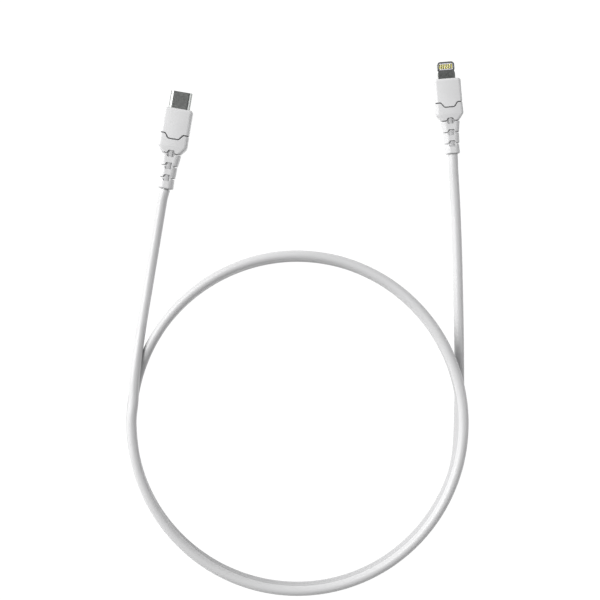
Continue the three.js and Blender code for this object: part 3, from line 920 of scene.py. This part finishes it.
def add_oval_plug(looks):
    plug = Plug("oval")
    head = "oval_head"
    add_moulding("oval", (4.225, 1.3), looks)
    add_shell(plug, looks["plug_metal"])
    refined("oval_liner", "oval_black_liner", looks["dark_plastic"], head, 0.03)
    refined("oval_latch_plate", "oval_latch", looks["spring_steel"], head, 0.02)
    for side in ("top", "bottom"):
        refined(
            f"oval_ground_spring_{side}",
            f"oval_grounding_{side}",
            looks["spring_steel"],
            head,
            0.02,
        )
    for side, places in (("top", TOP_PLACES), ("bottom", BOTTOM_PLACES)):
        for place in places:
            node = f"oval_contact_{side}_{place}"
            refined(node, f"oval_pin_{side}_{place}", looks["gold"], head, 0.02)
    refined("oval_resistor", "oval_chip_resistor", looks["chip"], head, 0.04)


# ------------------------------------------------------------------ the tab plug

TAB_HALF_WIDTH = 3.35
TAB_HALF_HEIGHT = 0.75
TAB_TIP = 6.65
TAB_TAIL = -2.6
TAB_CORNER = 1.3
WINDOW_CENTRE_Y = 4.75
PAD_WINDOW = (2.75, 1.3, 0.6)


def plan_rectangle(x0, x1, y0, y1, corners, steps=(18, 10, 14)):
    """A rounded rectangle in plan. Corners are the radii at +x+y, +x-y, -x-y and -x+y, and
    steps are the points on each end, each corner and each side."""
    across, bend, along = steps
    r1, r2, r3, r4 = corners
    points = []

    def line(ax, ay, bx, by, count):
        points.extend((ax + (bx - ax) * i / count, ay + (by - ay) * i / count) for i in range(count))

    def arc(cx, cy, r, start, count):
        for i in range(count):
            angle = math.radians(start - 90 * i / count)
            points.append((cx + r * math.cos(angle), cy + r * math.sin(angle)))

    line(x0 + r4, y1, x1 - r1, y1, across)
    arc(x1 - r1, y1 - r1, r1, 90, bend)
    line(x1, y1 - r1, x1, y0 + r2, along)
    arc(x1 - r2, y0 + r2, r2, 0, bend)
    line(x1 - r2, y0, x0 + r3, y0, across)
    arc(x0 + r3, y0 + r3, r3, -90, bend)
    line(x0, y0 + r3, x0, y1 - r4, along)
    arc(x0 + r4, y1 - r4, r4, 180, bend)
    return np.array(points)


def tab_outline(inset):
    """The tab's plan, with a shallow latch notch in each side."""
    corner = TAB_CORNER - inset
    points = plan_rectangle(
        -TAB_HALF_WIDTH + inset,
        TAB_HALF_WIDTH - inset,
        TAB_TAIL + inset,
        TAB_TIP - inset,
        (corner, 0.05, 0.05, corner),
        (18, 10, 60),
    )
    notch = 0.24 * np.exp(-(((points[:, 1] - (TAB_TIP - 3.7)) / 0.42) ** 2))
    on_side = np.abs(points[:, 0]) > TAB_HALF_WIDTH - inset - 0.02
    points[:, 0] -= np.where(on_side, np.sign(points[:, 0]) * notch, 0)
    return points


def window_outline(grow):
    half_width, half_length, corner = PAD_WINDOW
    return plan_rectangle(
        -half_width - grow,
        half_width + grow,
        WINDOW_CENTRE_Y - half_length - grow,
        WINDOW_CENTRE_Y + half_length + grow,
        (corner + grow,) * 4,
        (18, 10, 60),
    )


def flat_loop(plan, z):
    return np.column_stack([plan, np.full(len(plan), z)])


def add_tab(plug, material):
    """The metal tab round its window, with rounded edges and a rolled window rim."""
    edge, rim = 0.16, 0.05
    loops = []
    for sign in (1, -1):
        part = []
        for phi in QUARTER_TURN[::-1]:
            drop = rim * (1 - math.sin(phi))
            window = window_outline(rim * (1 - math.cos(phi)))
            part.append(flat_loop(window, sign * (TAB_HALF_HEIGHT - drop)))
        for inset in (edge + 0.08, edge):
            part.append(flat_loop(tab_outline(inset), sign * TAB_HALF_HEIGHT))
        for phi in QUARTER_TURN[1:]:
            drop = edge * (1 - math.sin(phi))
            inset = edge * (1 - math.cos(phi))
            part.append(flat_loop(tab_outline(inset), sign * (TAB_HALF_HEIGHT - drop)))
        loops += part if sign > 0 else part[::-1]
    tab = ring_of_loops("tab_metal", loops, plug, material)
    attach(tab, "tab_head")
    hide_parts("tab_frame")


def add_tab_plug(looks):
    plug = Plug("tab")
    head = "tab_head"
    add_moulding("tab", (3.45, 0.85), looks)
    add_tab(plug, looks["plug_metal"])
    refined("tab_insert", "tab_contact_insert", looks["pale_plastic"], head, 0.03)
    for side in ("top", "bottom"):
        for place in range(1, 9):
            node = f"tab_contact_{side}_{place}"
            refined(node, f"tab_pad_{side}_{place}", looks["gold"], head, 0.05)
    refined("tab_chip", "tab_control_chip", looks["chip"], head, 0.05)


# ------------------------------------------------------------------ what both plugs hold

WIRES = ("power", "ground", "data_plus", "data_minus")


def add_wires(plug, looks):
    """Four insulated wires from the cord's end to the pads of the board."""
    for i, wire in enumerate(WIRES):
        x = -1 if i % 2 == 0 else 1
        z = 1 if i < 2 else -1
        lift = 0.81
        along = [
            (0.55, -16.2, 0.55),
            (0.75, -13.8, 0.65),
            (1.8, -11.8, lift),
            (2.0, -10.2, lift),
            (2.0, -8.9, lift),
        ]
        grow = GROW[plug.prefix]
        route = [(across * grow * x, y * grow, up * z) for across, y, up in along]
        line = smooth_line([Vector(p) for p in plug.place(route)], 8)
        tube = curve_tube(f"{plug.prefix}_{wire}_wire", line, 0.42 * MM, 4)
        slot = ("wire_red", "wire_black", "wire_green", "wire_white")[i]
        tube.data.materials.append(looks[slot])
        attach(tube, f"{plug.prefix}_head")
        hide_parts(f"{plug.prefix}_wire_{wire}")


def add_insides(looks):
    for prefix in ("oval", "tab"):
        head = f"{prefix}_head"
        add_wires(Plug(prefix), looks)
        steel = looks["spring_steel"]
        refined(f"{prefix}_can", f"{prefix}_metal_can", steel, head, 0.04)
        refined(f"{prefix}_board", f"{prefix}_circuit_board", looks["board"], head, 0.03)


# ------------------------------------------------------------------ stage


def add_floor():
    mesh = bpy.data.meshes.new("floor")
    size = 25.0
    mesh.from_pydata(
        [(-size, -size, 0), (size, -size, 0), (size, size, 0), (-size, size, 0)],
        [],
        [(0, 1, 2, 3)],
    )
    mesh.materials.append(floor_material())
    floor = bpy.data.objects.new("floor", mesh)
    floor.location.z = -0.0001
    bpy.context.scene.collection.objects.link(floor)


def add_light(name, azimuth, elevation, distance, size, power):
    """A soft box that looks at the middle of the cable. Azimuth 0 is +X, turning to +Y."""
    data = bpy.data.lights.new(name, "AREA")
    data.shape = "RECTANGLE"
    data.size, data.size_y = size
    data.energy = power
    light = bpy.data.objects.new(name, data)
    flat, up = math.radians(azimuth), math.radians(elevation)
    out = Vector((math.cos(flat) * math.cos(up), math.sin(flat) * math.cos(up), math.sin(up)))
    target = Vector((-0.006, -0.07, 0))
    light.location = target + out * distance
    light.rotation_euler = out.to_track_quat("Z", "Y").to_euler()
    bpy.context.scene.collection.objects.link(light)


def add_lights():
    add_light("key", 152, 41, 3.2, (2.4, 2.4), 130)
    add_light("low", 172, 16, 3.2, (2.4, 0.7), 24)
    add_light("edge", 0, 36, 1.1, (0.3, 1.0), 3)
    world = bpy.data.worlds.new("studio")
    world.use_nodes = True
    background = world.node_tree.nodes["Background"]
    background.inputs["Color"].default_value = (1, 1, 1, 1)
    background.inputs["Strength"].default_value = 0.14
    bpy.context.scene.world = world
    bpy.context.scene.view_settings.view_transform = "Standard"


# ------------------------------------------------------------------ assembly


def make_looks():
    return {
        "cover": moulded_plastic("cover", (0.67, 0.67, 0.675), (0.65, 0.65, 0.655), 0.4, 0.004),
        "relief": moulded_plastic("relief", (0.65, 0.65, 0.655), (0.63, 0.63, 0.635), 0.45, 0.005),
        "jacket": moulded_plastic("jacket", (0.61, 0.61, 0.615), (0.59, 0.59, 0.595), 0.38, 0.003),
        # core: darker grey, painted shade for the floor of the first, deepest window.
        "core": moulded_plastic("core", (0.4, 0.4, 0.405), (0.37, 0.37, 0.375), 0.55, 0.004),
        # web: darker grey than the relief, painted shade for the webs sunk in the windows.
        "web": moulded_plastic("web", (0.46, 0.46, 0.465), (0.44, 0.44, 0.445), 0.55, 0.004),
        # seam: dark grey painted shade for the groove between the covers; the spigot there is the rear
        # cover's own white plastic.
        "seam": moulded_plastic("seam", (0.2, 0.2, 0.205), (0.18, 0.18, 0.185), 0.6, 0.004),
        "plug_metal": plug_metal(),
        "spring_steel": spring_steel(),
        "gold": gold_plate(),
        "dark_plastic": plain_plastic("dark_plastic", (0.02, 0.02, 0.022), (0.035, 0.035, 0.038), 0.5),
        "pale_plastic": plain_plastic("pale_plastic", (0.74, 0.73, 0.82), (0.82, 0.81, 0.88), 0.35),
        "board": circuit_board(),
        "chip": plain_plastic("chip", (0.02, 0.02, 0.02), (0.04, 0.04, 0.04), 0.55),
        "wire_red": plain_plastic("wire_red", (0.5, 0.03, 0.02), (0.6, 0.05, 0.04), 0.35),
        "wire_black": plain_plastic("wire_black", (0.015, 0.015, 0.015), (0.03, 0.03, 0.03), 0.35),
        "wire_green": plain_plastic("wire_green", (0.03, 0.28, 0.08), (0.05, 0.36, 0.12), 0.35),
        "wire_white": plain_plastic("wire_white", (0.75, 0.75, 0.74), (0.82, 0.82, 0.81), 0.35),
    }


add_camera()
looks = make_looks()
add_cord(jacket_with_shade())
add_oval_plug(looks)
add_tab_plug(looks)
add_insides(looks)
add_floor()
add_lights()
